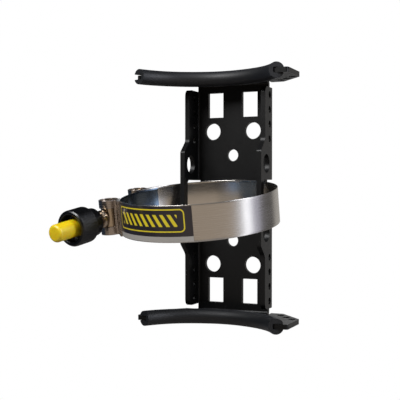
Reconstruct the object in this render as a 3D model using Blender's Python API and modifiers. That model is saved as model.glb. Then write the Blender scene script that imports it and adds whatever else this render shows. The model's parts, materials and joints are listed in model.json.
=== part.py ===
"""Gas cylinder bracket with a quick-release band clamp.

Frame: origin in the middle of the bracket's rear mounting face, +Z up along the cylinder, the cylinder on the -Y side.
Sizes are in metres. The clamp hangs forward in its slots and its bolt is swung open.
"""

from math import acos, asin, cos, pi, radians, sin, tau

import bmesh
import bpy
from mathutils import Matrix, Vector

MM = 0.001
# Clearance between pieces that are fitted, bonded or welded together
GAP = 0.3 * MM
# The channel's web lies this far inside the spine's faces, so that no two faces coincide where they are joined
SEAM = 0.01 * MM

# Cylinder that the bracket holds, and the space between it and the wall
CYLINDER_RADIUS = 88.9 * MM
CYLINDER_WALL_SPACE = 45.1 * MM
CYLINDER_STANDOFF = CYLINDER_RADIUS + CYLINDER_WALL_SPACE

# Bracket: one cut and bent plate
PLATE = 6.0 * MM
BEND_INNER_RADIUS = 3.0 * MM
BEND_OUTER_RADIUS = BEND_INNER_RADIUS + PLATE
BRACKET_HEIGHT = 305.0 * MM
SADDLE_HALF_HEIGHT = BRACKET_HEIGHT / 2
SADDLE_INNER_Z = SADDLE_HALF_HEIGHT - PLATE
WEB_HALF_WIDTH = 48.0 * MM
FLANGE_OUTER_X = WEB_HALF_WIDTH + PLATE
FLANGE_END_SPACE = 8.2 * MM
FLANGE_HALF_HEIGHT = SADDLE_INNER_Z - FLANGE_END_SPACE
FLANGE_NARROW_DEPTH = 34.7 * MM
FLANGE_WIDE_DEPTH = 49.7 * MM
FLANGE_STEP_OUTER = 71.8 * MM
FLANGE_STEP_INNER = 58.3 * MM
FLANGE_CORNER_RADIUS = 8.0 * MM

# Holes in the web, placed from the bracket's ends
STRAP_SLOT_WIDTH = 21.0 * MM
STRAP_SLOT_HEIGHT = 32.0 * MM
STRAP_SLOT_X = 23.3 * MM
STRAP_SLOT_FROM_END = 32.8 * MM
STRAP_SLOT_Z = SADDLE_HALF_HEIGHT - STRAP_SLOT_FROM_END
WEB_HOLE_RADIUS = 10.7 * MM
WEB_HOLE_X = 27.4 * MM
WEB_HOLE_FROM_SLOT = 33.9 * MM
WEB_HOLE_Z = STRAP_SLOT_Z - WEB_HOLE_FROM_SLOT
CENTRE_HOLE_RADIUS = 7.65 * MM
CENTRE_HOLE_Z = 54.9 * MM

# Band: a hoop that is a little larger than the cylinder
BAND_SLACK = 4.7 * MM
BAND_OUTER_RADIUS = CYLINDER_RADIUS + BAND_SLACK
BAND_THICKNESS = 0.8 * MM
BAND_INNER_RADIUS = BAND_OUTER_RADIUS - BAND_THICKNESS
BAND_WIDTH = 41.0 * MM
BAND_FRONT_END = radians(201.0)
BAND_REAR_END = radians(163.0)
BAND_TILT = radians(9.2)
BAND_ROLL = radians(-1.1)
BAND_PIVOT_DEPTH = 30.0 * MM
BAND_REAR_REACH = 15.6 * MM
BAND_CENTRE_REACH = BAND_OUTER_RADIUS - BAND_REAR_REACH
BAND_CENTRE_X = -3.2 * MM
BRIDGE_THICKNESS = 0.6 * MM
BRIDGE_EDGE_INSET = 1.5 * MM
BRIDGE_START = radians(147.0)
BRIDGE_END = radians(222.0)
LABEL_THICKNESS = 0.4 * MM
LABEL_EDGE_INSET = 1.0 * MM
LABEL_START = radians(220.5)
LABEL_END = radians(288.5)

# Slots that the band runs through, behind a bridging strip at each flange's front edge
BRIDGE_STRIP_DEPTH = 9.7 * MM
BAND_SLOT_PLAY = 2.5 * MM
BAND_SLOT_HALF_HEIGHT = BAND_WIDTH / 2 + BAND_SLOT_PLAY
BAND_SLOT_CORNER = 5.0 * MM

# Holes in the flanges: a large one beyond each end of the slot, then a row from the flange's end inwards
SIDE_HOLE_RADIUS = 11.7 * MM
SIDE_HOLE_DEPTH = 29.5 * MM
SIDE_HOLE_FROM_SLOT = 19.8 * MM
SIDE_HOLE_Z = BAND_SLOT_HALF_HEIGHT + SIDE_HOLE_FROM_SLOT
TIE_HOLE_RADIUS = 4.35 * MM
TIE_HOLE_DEPTH = 17.3 * MM
TIE_HOLE_FROM_END = 9.4 * MM
TIE_HOLE_PITCH = 18.3 * MM
TIE_HOLE_WALL = 6.0 * MM
TIE_HOLE_LAST_Z = FLANGE_HALF_HEIGHT - TIE_HOLE_FROM_END
TIE_HOLE_ROOM = TIE_HOLE_LAST_Z - SIDE_HOLE_Z - SIDE_HOLE_RADIUS - TIE_HOLE_WALL - TIE_HOLE_RADIUS
TIE_HOLE_COUNT = int(TIE_HOLE_ROOM / TIE_HOLE_PITCH) + 1

# Rubber edge trim, cut by hand so that each end runs past the plate's own end by its own length
TRIM_RADIUS = 9.5 * MM
TRIM_PATH_RADIUS = CYLINDER_RADIUS + TRIM_RADIUS
TRIM_PLATE_REACH = 3.0 * MM
TRIM_SLOT_REACH = 4.2 * MM
TRIM_RIGHT_OVERHANG = 2.2 * MM
UPPER_TRIM_LEFT_OVERHANG = 13.9 * MM
LOWER_TRIM_LEFT_OVERHANG = 6.5 * MM

# Saddle plates and their ears
SADDLE_REAR_HALF_WIDTH = 66.5 * MM
SADDLE_EDGE_RADIUS = TRIM_PATH_RADIUS - TRIM_PLATE_REACH
SADDLE_FRONT_SPACE = 51.0 * MM
SADDLE_FRONT_Y = SADDLE_FRONT_SPACE - CYLINDER_STANDOFF
SADDLE_END_ANGLE = asin(SADDLE_FRONT_SPACE / SADDLE_EDGE_RADIUS)
EAR_OVERHANG = 9.1 * MM
EAR_TIP_X = CYLINDER_RADIUS + EAR_OVERHANG
EAR_TIP_DEPTH = 36.0 * MM
EAR_CORNER_RADIUS = 3.0 * MM
RELIEF_WIDTH = 3.0 * MM
RELIEF_DEPTH = 12.0 * MM
EAR_HOLE_RADIUS = 4.8 * MM
EAR_HOLE_COUNT = 3
EAR_HOLE_FIRST = 13.5 * MM
EAR_HOLE_SPACING = 16.5 * MM
EAR_HOLE_INSET = 9.0 * MM

# Bolt, stationed by distance from the cross pin's centre
BOLT_ANGLE = radians(257.5)
BOLT_DROOP = radians(1.5)
BOLT_RADIUS = 8.0 * MM
BOLT_NECK_RADIUS = 5.0 * MM
BOLT_TAIL = 6.0 * MM
BOLT_END_EDGE = 1.0 * MM
BOLT_BORE = BOLT_RADIUS + GAP

# Loop straps
LOOP_OUTER_RADIUS = 11.7 * MM
LOOP_WALL = 1.2 * MM
LOOP_TAIL_ANGLE = radians(15.5)
LOOP_LEAVE_ANGLE = radians(128.0)
LOOP_WINDOW_PLAY = 0.4 * MM
LOOP_WINDOW_FLOOR = 6.5 * MM
LOOP_CENTRE_RADIUS = BAND_OUTER_RADIUS + GAP + LOOP_OUTER_RADIUS
FRONT_LOOP_ANGLE = radians(204.0)
REAR_LOOP_ANGLE = radians(160.0)

# Pins in the loops; the front one leans with the bolt, so its play grows with its length
PIN_CLEARANCE = 0.17 * MM
PIN_END_INSET = 2.0 * MM
PIN_LENGTH = BAND_WIDTH - 2 * PIN_END_INSET
PIN_PLAY = PIN_LENGTH / 2 * sin(BOLT_DROOP) + PIN_CLEARANCE
PIN_RADIUS = LOOP_OUTER_RADIUS - LOOP_WALL - PIN_PLAY
PIN_RIM = 3.0 * MM
PIN_CUP_RADIUS = PIN_RADIUS - PIN_RIM
PIN_CUP_DEPTH = 3.0 * MM
PIN_EDGE = 0.6 * MM
TRUNNION_SLOT_PLAY = 0.5 * MM
TRUNNION_SLOT_FLOOR = 4.14 * MM

# Sleeve and washer on the bolt, beyond the loop
NECK_CLEARANCE = 0.6 * MM
BOLT_NECK_END = LOOP_OUTER_RADIUS + NECK_CLEARANCE
SLEEVE_START = BOLT_NECK_END + GAP
SLEEVE_LENGTH = 13.5 * MM
SLEEVE_WALL = 2.6 * MM
SLEEVE_RADIUS = BOLT_RADIUS + SLEEVE_WALL
SLEEVE_RIB_LENGTH = 6.05 * MM
SLEEVE_RIB_HEIGHT = 1.0 * MM
SLEEVE_EDGE = 0.8 * MM
WASHER_RIM = 4.5 * MM
WASHER_RADIUS = BOLT_RADIUS + WASHER_RIM
WASHER_THICKNESS = 2.4 * MM
WASHER_START = SLEEVE_START + SLEEVE_LENGTH + GAP

# Knob and the bush in it
INSERT_WALL = 3.0 * MM
INSERT_RADIUS = BOLT_RADIUS + INSERT_WALL
KNOB_LENGTH = 38.1 * MM
KNOB_START = WASHER_START + WASHER_THICKNESS + GAP
COLLAR_WALL = 5.2 * MM
COLLAR_RADIUS = INSERT_RADIUS + COLLAR_WALL
COLLAR_LENGTH = 10.5 * MM
COLLAR_EDGE = 1.0 * MM
KNOB_GROOVE_DEPTH = 2.0 * MM
KNOB_GROOVE_WIDTH = 2.0 * MM
RECESS_LEDGE = 5.0 * MM
RECESS_RADIUS = INSERT_RADIUS + RECESS_LEDGE
RECESS_DEPTH = 15.0 * MM
RECESS_FLOOR = KNOB_START + KNOB_LENGTH - RECESS_DEPTH
GRIP_WALL = 4.8 * MM
GRIP_RADIUS = RECESS_RADIUS + GRIP_WALL
GRIP_EDGE = 2.0 * MM
KNOB_TRAVEL = 3.5 * MM

# Cap over the bolt's end
CAP_WALL = 2.0 * MM
CAP_RADIUS = BOLT_BORE + CAP_WALL
CAP_LENGTH = 36.3 * MM
CAP_END_ROUND = 1.6 * MM
CAP_END_SPACE = 3.3 * MM
CAP_START = RECESS_FLOOR + KNOB_TRAVEL + GAP
BOLT_LENGTH = CAP_START + CAP_LENGTH - CAP_WALL - CAP_END_SPACE

# How finely round shapes are drawn
LARGE_HOLE_STEPS = 36
SMALL_HOLE_STEPS = 20
HOLLOW_STEPS = 40
TRIM_SECTION_STEPS = 20
TRIM_STEPS = 90
STRIP_STEP = radians(3.0)
LOOP_STEPS = 30
TAIL_STEPS = 9
TURN_STEPS = 48
PIN_STEPS = 32
CAP_STEPS = 40
NECK_STEPS = 24
EDGE_STEPS = 4


def clear_scene():
    for obj in list(bpy.data.objects):
        bpy.data.objects.remove(obj, do_unlink=True)


def new_collection(name):
    collection = bpy.data.collections.new(name)
    bpy.context.scene.collection.children.link(collection)
    return collection


def material(name, colour, metallic, roughness):
    made = bpy.data.materials.new(name)
    made.use_nodes = True
    shader = made.node_tree.nodes["Principled BSDF"]
    shader.inputs["Base Color"].default_value = (*colour, 1.0)
    shader.inputs["Metallic"].default_value = metallic
    shader.inputs["Roughness"].default_value = roughness
    return made


def place(obj, collection, parent=None, location=(0, 0, 0), rotation=(0, 0, 0)):
    collection.objects.link(obj)
    obj.parent = parent
    obj.location = location
    obj.rotation_euler = rotation
    return obj


def empty(name, parent=None, location=(0, 0, 0), rotation=(0, 0, 0)):
    made = bpy.data.objects.new(name, None)
    made.empty_display_size = 0.02
    return place(made, PARTS, parent, location, rotation)


def finish(obj, name, finish_material, smooth_angle=30):
    """Names a piece, gives it its material and shades its round faces smooth."""
    obj.name = name
    obj.data.name = name
    obj.data.materials.clear()
    obj.data.materials.append(finish_material)
    obj.data.shade_smooth()
    obj.data.set_sharp_from_angle(angle=radians(smooth_angle))
    return obj


def as_cutter(obj):
    obj.hide_render = True
    obj.display_type = "WIRE"
    return obj


def boolean(obj, operation, other):
    modifier = obj.modifiers.new(operation.title(), "BOOLEAN")
    modifier.operation = operation
    modifier.solver = "EXACT"
    modifier.object = other
    return obj


def arc(centre, radius, start, end, steps):
    """Points on a circle from one angle to another, both ends included."""
    return [
        (centre[0] + radius * cos(start + (end - start) * i / steps),
         centre[1] + radius * sin(start + (end - start) * i / steps))
        for i in range(steps + 1)
    ]


def circle(centre, radius, steps=PIN_STEPS):
    return arc(centre, radius, 0, tau, steps)[:-1]


def rounded(corners, steps=5):
    """A closed outline from (x, y, radius) corners, each rounded by its radius."""
    outline = []
    for i, (x, y, radius) in enumerate(corners):
        here = Vector((x, y))
        before = (Vector(corners[i - 1][:2]) - here).normalized()
        after = (Vector(corners[(i + 1) % len(corners)][:2]) - here).normalized()
        if radius <= 0:
            outline.append((x, y))
            continue
        half = acos(max(-1.0, min(1.0, before.dot(after)))) / 2
        centre = here + (before + after).normalized() * radius / sin(half)
        start = here + before * radius * cos(half) / sin(half) - centre
        turn = pi - 2 * half
        if before.cross(after) > 0:
            turn = -turn
        for k in range(steps + 1):
            angle = turn * k / steps
            outline.append((centre.x + start.x * cos(angle) - start.y * sin(angle),
                            centre.y + start.x * sin(angle) + start.y * cos(angle)))
    return outline


def rectangle(centre, width, height, radius=0.0):
    x, y = centre
    w, h = width / 2, height / 2
    return rounded([(x - w, y - h, radius), (x + w, y - h, radius), (x + w, y + h, radius), (x - w, y + h, radius)])


# A plane's columns say where an outline's own x, y and thickness directions point
TOP_VIEW = Matrix(((1, 0, 0), (0, 1, 0), (0, 0, 1)))
SIDE_VIEW = Matrix(((0, 0, 1), (1, 0, 0), (0, 1, 0)))
FRONT_VIEW = Matrix(((1, 0, 0), (0, 0, -1), (0, 1, 0)))


def prism(name, outlines, low, high, plane, collection, parent=None, location=(0, 0, 0), rotation=(0, 0, 0)):
    """A flat outline, with other outlines in it as holes or beside it, extruded from low to high."""
    curve = bpy.data.curves.new(name, "CURVE")
    curve.dimensions = "2D"
    curve.fill_mode = "BOTH"
    curve.extrude = (high - low) / 2
    for outline in outlines:
        spline = curve.splines.new("POLY")
        spline.points.add(len(outline) - 1)
        spline.use_cyclic_u = True
        for point, (x, y) in zip(spline.points, outline):
            point.co = (x, y, 0, 1)
    drawn = bpy.data.objects.new(name, curve)
    collection.objects.link(drawn)
    bpy.context.view_layer.update()
    mesh = bpy.data.meshes.new_from_object(drawn.evaluated_get(bpy.context.evaluated_depsgraph_get()))
    bpy.data.objects.remove(drawn)
    bpy.data.curves.remove(curve)
    mesh.transform(Matrix.Translation((0, 0, (low + high) / 2)))
    mesh.transform(plane.to_4x4())
    shape = bmesh.new()
    shape.from_mesh(mesh)
    bmesh.ops.remove_doubles(shape, verts=shape.verts, dist=1e-6)
    bmesh.ops.recalc_face_normals(shape, faces=shape.faces)
    shape.to_mesh(mesh)
    shape.free()
    return place(bpy.data.objects.new(name, mesh), collection, parent, location, rotation)


def turned(name, profile, closed, collection, parent=None, steps=TURN_STEPS, location=(0, 0, 0), rotation=(0, 0, 0)):
    """A profile of (radius, height) points turned about its own Z axis."""
    mesh = bpy.data.meshes.new(name)
    edges = [(i, i + 1) for i in range(len(profile) - 1)]
    if closed:
        edges.append((len(profile) - 1, 0))
    mesh.from_pydata([(radius, 0, height) for radius, height in profile], edges, [])
    obj = place(bpy.data.objects.new(name, mesh), collection, parent, location, rotation)
    screw = obj.modifiers.new("Screw", "SCREW")
    screw.axis = "Z"
    screw.angle = tau
    screw.steps = steps
    screw.render_steps = steps
    screw.use_merge_vertices = True
    screw.merge_threshold = 1e-6
    return obj


def apply_modifiers(obj):
    """Makes a piece's modifiers final, so that it can be shaded and cut as a plain mesh."""
    bpy.context.view_layer.update()
    mesh = bpy.data.meshes.new_from_object(obj.evaluated_get(bpy.context.evaluated_depsgraph_get()))
    obj.modifiers.clear()
    obj.data = mesh
    return obj


def channel_section():
    """Section of the web and its two flanges, seen from above; its web lies just inside the spine's faces."""
    depth = -FLANGE_WIDE_DEPTH - PLATE
    rear = -SEAM
    front = SEAM - PLATE
    return rounded([
        (-FLANGE_OUTER_X, rear, BEND_OUTER_RADIUS), (-FLANGE_OUTER_X, depth, 0), (-WEB_HALF_WIDTH, depth, 0),
        (-WEB_HALF_WIDTH, front, BEND_INNER_RADIUS), (WEB_HALF_WIDTH, front, BEND_INNER_RADIUS),
        (WEB_HALF_WIDTH, depth, 0), (FLANGE_OUTER_X, depth, 0), (FLANGE_OUTER_X, rear, BEND_OUTER_RADIUS),
    ])


def flange_outline():
    """Side view of a flange: (y, z), wide in the middle and narrow towards its ends."""
    upper = [
        (PLATE, FLANGE_HALF_HEIGHT, 0), (-FLANGE_NARROW_DEPTH, FLANGE_HALF_HEIGHT, FLANGE_CORNER_RADIUS),
        (-FLANGE_NARROW_DEPTH, FLANGE_STEP_OUTER, FLANGE_CORNER_RADIUS),
        (-FLANGE_WIDE_DEPTH, FLANGE_STEP_INNER, FLANGE_CORNER_RADIUS / 2),
    ]
    lower = [(y, -z, radius) for y, z, radius in reversed(upper)]
    return rounded(upper + lower)


def flange_holes():
    """Round holes seen from the side: a large one near the clamp, then a row of small ones."""
    holes = []
    for side in (-1, 1):
        holes.append(circle((-SIDE_HOLE_DEPTH, side * SIDE_HOLE_Z), SIDE_HOLE_RADIUS, LARGE_HOLE_STEPS))
        for i in range(TIE_HOLE_COUNT):
            z = side * (TIE_HOLE_LAST_Z - i * TIE_HOLE_PITCH)
            holes.append(circle((-TIE_HOLE_DEPTH, z), TIE_HOLE_RADIUS, SMALL_HOLE_STEPS))
    return holes


def spine_section():
    """Side view of the web bent forward into both saddle plates."""
    reach = -CYLINDER_STANDOFF
    z = SADDLE_HALF_HEIGHT
    return rounded([
        (reach, z, 0), (0, z, BEND_OUTER_RADIUS), (0, -z, BEND_OUTER_RADIUS), (reach, -z, 0),
        (reach, PLATE - z, 0), (-PLATE, PLATE - z, BEND_INNER_RADIUS), (-PLATE, z - PLATE, BEND_INNER_RADIUS),
        (reach, z - PLATE, 0),
    ])


def saddle_outline():
    """Plan of a saddle plate: a rear edge, two straight-sided ears and a concave front edge."""
    centre = (0, -CYLINDER_STANDOFF)
    hollow = arc(centre, SADDLE_EDGE_RADIUS, pi - SADDLE_END_ANGLE, SADDLE_END_ANGLE, HOLLOW_STEPS)
    ears = rounded([
        (*hollow[-1], 0), (EAR_TIP_X, SADDLE_FRONT_Y, EAR_CORNER_RADIUS),
        (EAR_TIP_X, -EAR_TIP_DEPTH, EAR_CORNER_RADIUS), (SADDLE_REAR_HALF_WIDTH, 0, EAR_CORNER_RADIUS),
        (-SADDLE_REAR_HALF_WIDTH, 0, EAR_CORNER_RADIUS), (-EAR_TIP_X, -EAR_TIP_DEPTH, EAR_CORNER_RADIUS),
        (-EAR_TIP_X, SADDLE_FRONT_Y, EAR_CORNER_RADIUS),
    ])
    return ears + hollow[:-1]


def ear_holes():
    """A row of holes in each ear, along its slanted rear edge."""
    rear = Vector((SADDLE_REAR_HALF_WIDTH, 0))
    along = (Vector((EAR_TIP_X, -EAR_TIP_DEPTH)) - rear).normalized()
    inward = Vector((along.y, -along.x))
    holes = []
    for i in range(EAR_HOLE_COUNT):
        spot = rear + along * (EAR_HOLE_FIRST + i * EAR_HOLE_SPACING) + inward * EAR_HOLE_INSET
        for side in (-1, 1):
            holes.append(circle((side * spot.x, spot.y), EAR_HOLE_RADIUS, SMALL_HOLE_STEPS))
    return holes


def web_holes():
    """Holes through the web, seen from the front: strap slots, round holes and centre holes."""
    holes = []
    for up in (-1, 1):
        for side in (-1, 1):
            slot = (side * STRAP_SLOT_X, up * STRAP_SLOT_Z)
            holes.append(rectangle(slot, STRAP_SLOT_WIDTH, STRAP_SLOT_HEIGHT))
            holes.append(circle((side * WEB_HOLE_X, up * WEB_HOLE_Z), WEB_HOLE_RADIUS, LARGE_HOLE_STEPS))
        holes.append(circle((0, up * CENTRE_HOLE_Z), CENTRE_HOLE_RADIUS))
    return holes


def make_bracket():
    wide = EAR_TIP_X + PLATE
    spine = as_cutter(prism("spine", [spine_section()], -wide, wide, SIDE_VIEW, CUTTERS))
    plan = prism("saddle_plan", [saddle_outline(), *ear_holes()], -BRACKET_HEIGHT, BRACKET_HEIGHT, TOP_VIEW, CUTTERS)
    boolean(spine, "INTERSECT", as_cutter(plan))
    beside = []
    for side in (-1, 1):
        inner = side * WEB_HALF_WIDTH
        outer = side * 2 * EAR_TIP_X
        beside.append([(inner, -SADDLE_INNER_Z), (outer, -SADDLE_INNER_Z), (outer, SADDLE_INNER_Z),
                       (inner, SADDLE_INNER_Z)])
    sides = prism("beside_web", beside, -PLATE, 2 * PLATE, FRONT_VIEW, CUTTERS)
    boolean(spine, "DIFFERENCE", as_cutter(sides))
    notches = [rectangle((side * (WEB_HALF_WIDTH + RELIEF_WIDTH / 2), -RELIEF_DEPTH / 2 + PLATE / 2),
                         RELIEF_WIDTH, RELIEF_DEPTH + PLATE) for side in (-1, 1)]
    reliefs = prism("bend_reliefs", notches, -BRACKET_HEIGHT, BRACKET_HEIGHT, TOP_VIEW, CUTTERS)
    boolean(spine, "DIFFERENCE", as_cutter(reliefs))

    bracket = prism("mounting_bracket", [channel_section()], -BRACKET_HEIGHT / 2 + PLATE, BRACKET_HEIGHT / 2 - PLATE,
                    TOP_VIEW, PARTS)
    sides_kept = prism("flange_shape", [flange_outline(), *flange_holes()], -wide, wide, SIDE_VIEW, CUTTERS)
    boolean(bracket, "INTERSECT", as_cutter(sides_kept))
    boolean(bracket, "UNION", spine)
    holes = prism("web_holes", web_holes(), -2 * PLATE, 2 * PLATE, FRONT_VIEW, CUTTERS)
    boolean(bracket, "DIFFERENCE", as_cutter(holes))
    slot_front = -FLANGE_WIDE_DEPTH + BRIDGE_STRIP_DEPTH
    slot = rounded([
        (slot_front, -BAND_SLOT_HALF_HEIGHT, BAND_SLOT_CORNER), (PLATE, -BAND_SLOT_HALF_HEIGHT, 0),
        (PLATE, BAND_SLOT_HALF_HEIGHT, 0), (slot_front, BAND_SLOT_HALF_HEIGHT, BAND_SLOT_CORNER),
    ])
    for side in (-1, 1):
        low, high = sorted((side * (WEB_HALF_WIDTH - BEND_INNER_RADIUS), side * 2 * FLANGE_OUTER_X))
        cutter = prism("band_slot", [slot], low, high, SIDE_VIEW, CUTTERS)
        boolean(bracket, "DIFFERENCE", as_cutter(cutter))
    return finish(apply_modifiers(bracket), "mounting_bracket", POWDER_COAT)


def make_trim(name, up, left_overhang):
    """Round rubber strip with a slot that grips the saddle plate's concave edge."""
    half_slot = PLATE / 2 + GAP
    mouth = asin(half_slot / TRIM_RADIUS)
    section = arc((TRIM_PATH_RADIUS, 0), TRIM_RADIUS, -mouth, mouth - tau, TRIM_SECTION_STEPS)
    section += [(TRIM_PATH_RADIUS - TRIM_SLOT_REACH, half_slot), (TRIM_PATH_RADIUS - TRIM_SLOT_REACH, -half_slot)]
    middle = up * (SADDLE_HALF_HEIGHT - PLATE / 2)
    trim = turned(name, section, True, PARTS, steps=TRIM_STEPS,
                  location=(0, -CYLINDER_STANDOFF, middle))
    far = 2 * TRIM_PATH_RADIUS
    right_end = SADDLE_END_ANGLE - TRIM_RIGHT_OVERHANG / TRIM_PATH_RADIUS
    left_end = pi - SADDLE_END_ANGLE + left_overhang / TRIM_PATH_RADIUS
    keep = [(0, 0), (far * cos(right_end), far * sin(right_end)), (far, 2 * far), (-far, 2 * far),
            (far * cos(left_end), far * sin(left_end))]
    wedge = prism("trim_wedge", [keep], -BRACKET_HEIGHT, BRACKET_HEIGHT, TOP_VIEW, CUTTERS,
                  location=(0, -CYLINDER_STANDOFF, 0))
    boolean(trim, "INTERSECT", as_cutter(wedge))
    return finish(apply_modifiers(trim), name, RUBBER)


def strip(name, outer_radius, thickness, width, start, end, made_of):
    """A curved strip standing on edge round the band's centre."""
    steps = max(2, round((end - start) / STRIP_STEP))
    outline = arc((0, 0), outer_radius, start, end, steps) + arc((0, 0), outer_radius - thickness, end, start, steps)
    piece = prism(name, [outline], -width / 2, width / 2, TOP_VIEW, PARTS, parent=BAND_CENTRE)
    return finish(piece, name, made_of)


def loop_outline(side):
    """Plan of a loop strap, its tail towards +angle for side 1, with the loop's centre at angle 0."""
    bottom = BAND_OUTER_RADIUS + GAP
    tail = bottom + 2 * LOOP_WALL
    centre = (LOOP_CENTRE_RADIUS, 0)
    leave = LOOP_OUTER_RADIUS / tail
    outline = arc((0, 0), bottom, LOOP_TAIL_ANGLE, 0, TAIL_STEPS)
    outline += arc(centre, LOOP_OUTER_RADIUS, -pi, LOOP_LEAVE_ANGLE, LOOP_STEPS)[1:]
    outline += arc((0, 0), tail, leave, LOOP_TAIL_ANGLE, TAIL_STEPS)
    hole = circle(centre, LOOP_OUTER_RADIUS - LOOP_WALL)
    return [[(x, side * y) for x, y in points] for points in (outline, hole)]


def make_loop(name, angle, side):
    loop = prism(name, loop_outline(side), -BAND_WIDTH / 2, BAND_WIDTH / 2, TOP_VIEW, PARTS, parent=BAND_CENTRE,
                 rotation=(0, 0, angle))
    floor = LOOP_CENTRE_RADIUS - LOOP_WINDOW_FLOOR
    opening = [(floor, -LOOP_CENTRE_RADIUS / 2), (2 * floor, -LOOP_CENTRE_RADIUS / 2),
               (2 * floor, LOOP_CENTRE_RADIUS / 2), (floor, LOOP_CENTRE_RADIUS / 2)]
    half_height = SLEEVE_RADIUS + LOOP_WINDOW_PLAY
    window = prism("loop_window", [opening], -half_height, half_height, TOP_VIEW, CUTTERS, parent=BAND_CENTRE,
                   rotation=(0, 0, angle))
    boolean(loop, "DIFFERENCE", as_cutter(window))
    return finish(apply_modifiers(loop), name, STEEL)


def pin_profile():
    """Outer side of a round pin with a cup turned into each end, top to bottom."""
    half = PIN_LENGTH / 2
    return [(0, half - PIN_CUP_DEPTH), (PIN_CUP_RADIUS, half - PIN_CUP_DEPTH), (PIN_CUP_RADIUS, half),
            (PIN_RADIUS - PIN_EDGE, half), (PIN_RADIUS, half - PIN_EDGE), (PIN_RADIUS, PIN_EDGE - half),
            (PIN_RADIUS - PIN_EDGE, -half), (PIN_CUP_RADIUS, -half), (PIN_CUP_RADIUS, PIN_CUP_DEPTH - half),
            (0, PIN_CUP_DEPTH - half)]


def make_cross_pin():
    pin = turned("bolt_cross_pin", pin_profile(), False, PARTS, parent=BOLT_PIVOT, steps=PIN_STEPS)
    reach = 2 * PIN_RADIUS
    bore = BOLT_NECK_RADIUS + GAP
    hole = turned("cross_pin_hole", [(0, reach), (bore, reach), (bore, -reach), (0, -reach)], False, CUTTERS,
                  parent=BOLT_AXIS, steps=NECK_STEPS)
    boolean(pin, "DIFFERENCE", as_cutter(hole))
    return finish(apply_modifiers(pin), "bolt_cross_pin", STEEL)


def make_rear_trunnion():
    """Round bar in the rear loop, with a slot open outwards for the bolt to drop into."""
    trunnion = turned("rear_trunnion", pin_profile(), False, PARTS, parent=TRUNNION_PIVOT, steps=PIN_STEPS)
    reach = 2 * LOOP_OUTER_RADIUS
    slot = [(-TRUNNION_SLOT_FLOOR, -reach), (reach, -reach), (reach, reach), (-TRUNNION_SLOT_FLOOR, reach)]
    half_width = BOLT_RADIUS + TRUNNION_SLOT_PLAY
    cutter = prism("trunnion_slot", [slot], -half_width, half_width, TOP_VIEW, CUTTERS, parent=TRUNNION_PIVOT)
    boolean(trunnion, "DIFFERENCE", as_cutter(cutter))
    return finish(apply_modifiers(trunnion), "rear_trunnion", STEEL)


def on_bolt(name, profile, closed, made_of, steps=TURN_STEPS):
    piece = turned(name, profile, closed, PARTS, parent=BOLT_AXIS, steps=steps)
    return finish(apply_modifiers(piece), name, made_of)


def make_bolt():
    return on_bolt("t_bolt", [
        (0, BOLT_LENGTH), (BOLT_RADIUS - BOLT_END_EDGE, BOLT_LENGTH), (BOLT_RADIUS, BOLT_LENGTH - BOLT_END_EDGE),
        (BOLT_RADIUS, BOLT_NECK_END), (BOLT_NECK_RADIUS, BOLT_NECK_END), (BOLT_NECK_RADIUS, -BOLT_TAIL),
        (0, -BOLT_TAIL),
    ], False, STEEL, PIN_STEPS)


def make_sleeve():
    """Spacer with two rounded ribs and a waist between them."""
    end = SLEEVE_START + SLEEVE_LENGTH
    shoulder = SLEEVE_RADIUS - SLEEVE_EDGE
    waist = SLEEVE_RADIUS - SLEEVE_RIB_HEIGHT
    upper_rib = end - SLEEVE_RIB_LENGTH
    lower_rib = SLEEVE_START + SLEEVE_RIB_LENGTH
    return on_bolt("spacer_sleeve", [
        (BOLT_BORE, end), (shoulder, end), (SLEEVE_RADIUS, end - SLEEVE_EDGE),
        (SLEEVE_RADIUS, upper_rib + SLEEVE_EDGE), (waist, upper_rib), (waist, lower_rib),
        (SLEEVE_RADIUS, lower_rib - SLEEVE_EDGE), (SLEEVE_RADIUS, SLEEVE_START + SLEEVE_EDGE),
        (shoulder, SLEEVE_START), (BOLT_BORE, SLEEVE_START),
    ], True, STEEL)


def make_washer():
    top = WASHER_START + WASHER_THICKNESS
    return on_bolt("thrust_washer", [(BOLT_BORE, top), (WASHER_RADIUS, top), (WASHER_RADIUS, WASHER_START),
                                     (BOLT_BORE, WASHER_START)], True, STEEL)


def make_knob():
    """Grip with a smaller rear collar, a groove between them and a deep recess in its face."""
    bore = INSERT_RADIUS + GAP
    face = KNOB_START + KNOB_LENGTH
    collar_end = KNOB_START + COLLAR_LENGTH
    collar_corner = COLLAR_RADIUS - COLLAR_EDGE
    groove = COLLAR_RADIUS - KNOB_GROOVE_DEPTH
    grip_start = collar_end + KNOB_GROOVE_WIDTH
    return on_bolt("knob_grip", [
        (bore, RECESS_FLOOR), (RECESS_RADIUS, RECESS_FLOOR), (RECESS_RADIUS, face),
        (GRIP_RADIUS - GRIP_EDGE, face), (GRIP_RADIUS, face - GRIP_EDGE), (GRIP_RADIUS, grip_start + GRIP_EDGE),
        (GRIP_RADIUS - GRIP_EDGE, grip_start), (groove, grip_start), (groove, collar_end),
        (collar_corner, collar_end), (COLLAR_RADIUS, collar_end - COLLAR_EDGE),
        (COLLAR_RADIUS, KNOB_START + COLLAR_EDGE), (collar_corner, KNOB_START), (bore, KNOB_START),
    ], True, KNOB_BLACK)


def make_insert():
    """Threaded bush moulded into the knob."""
    return on_bolt("knob_insert", [(BOLT_BORE, RECESS_FLOOR), (INSERT_RADIUS, RECESS_FLOOR),
                                   (INSERT_RADIUS, KNOB_START), (BOLT_BORE, KNOB_START)], True, BRASS)


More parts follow.
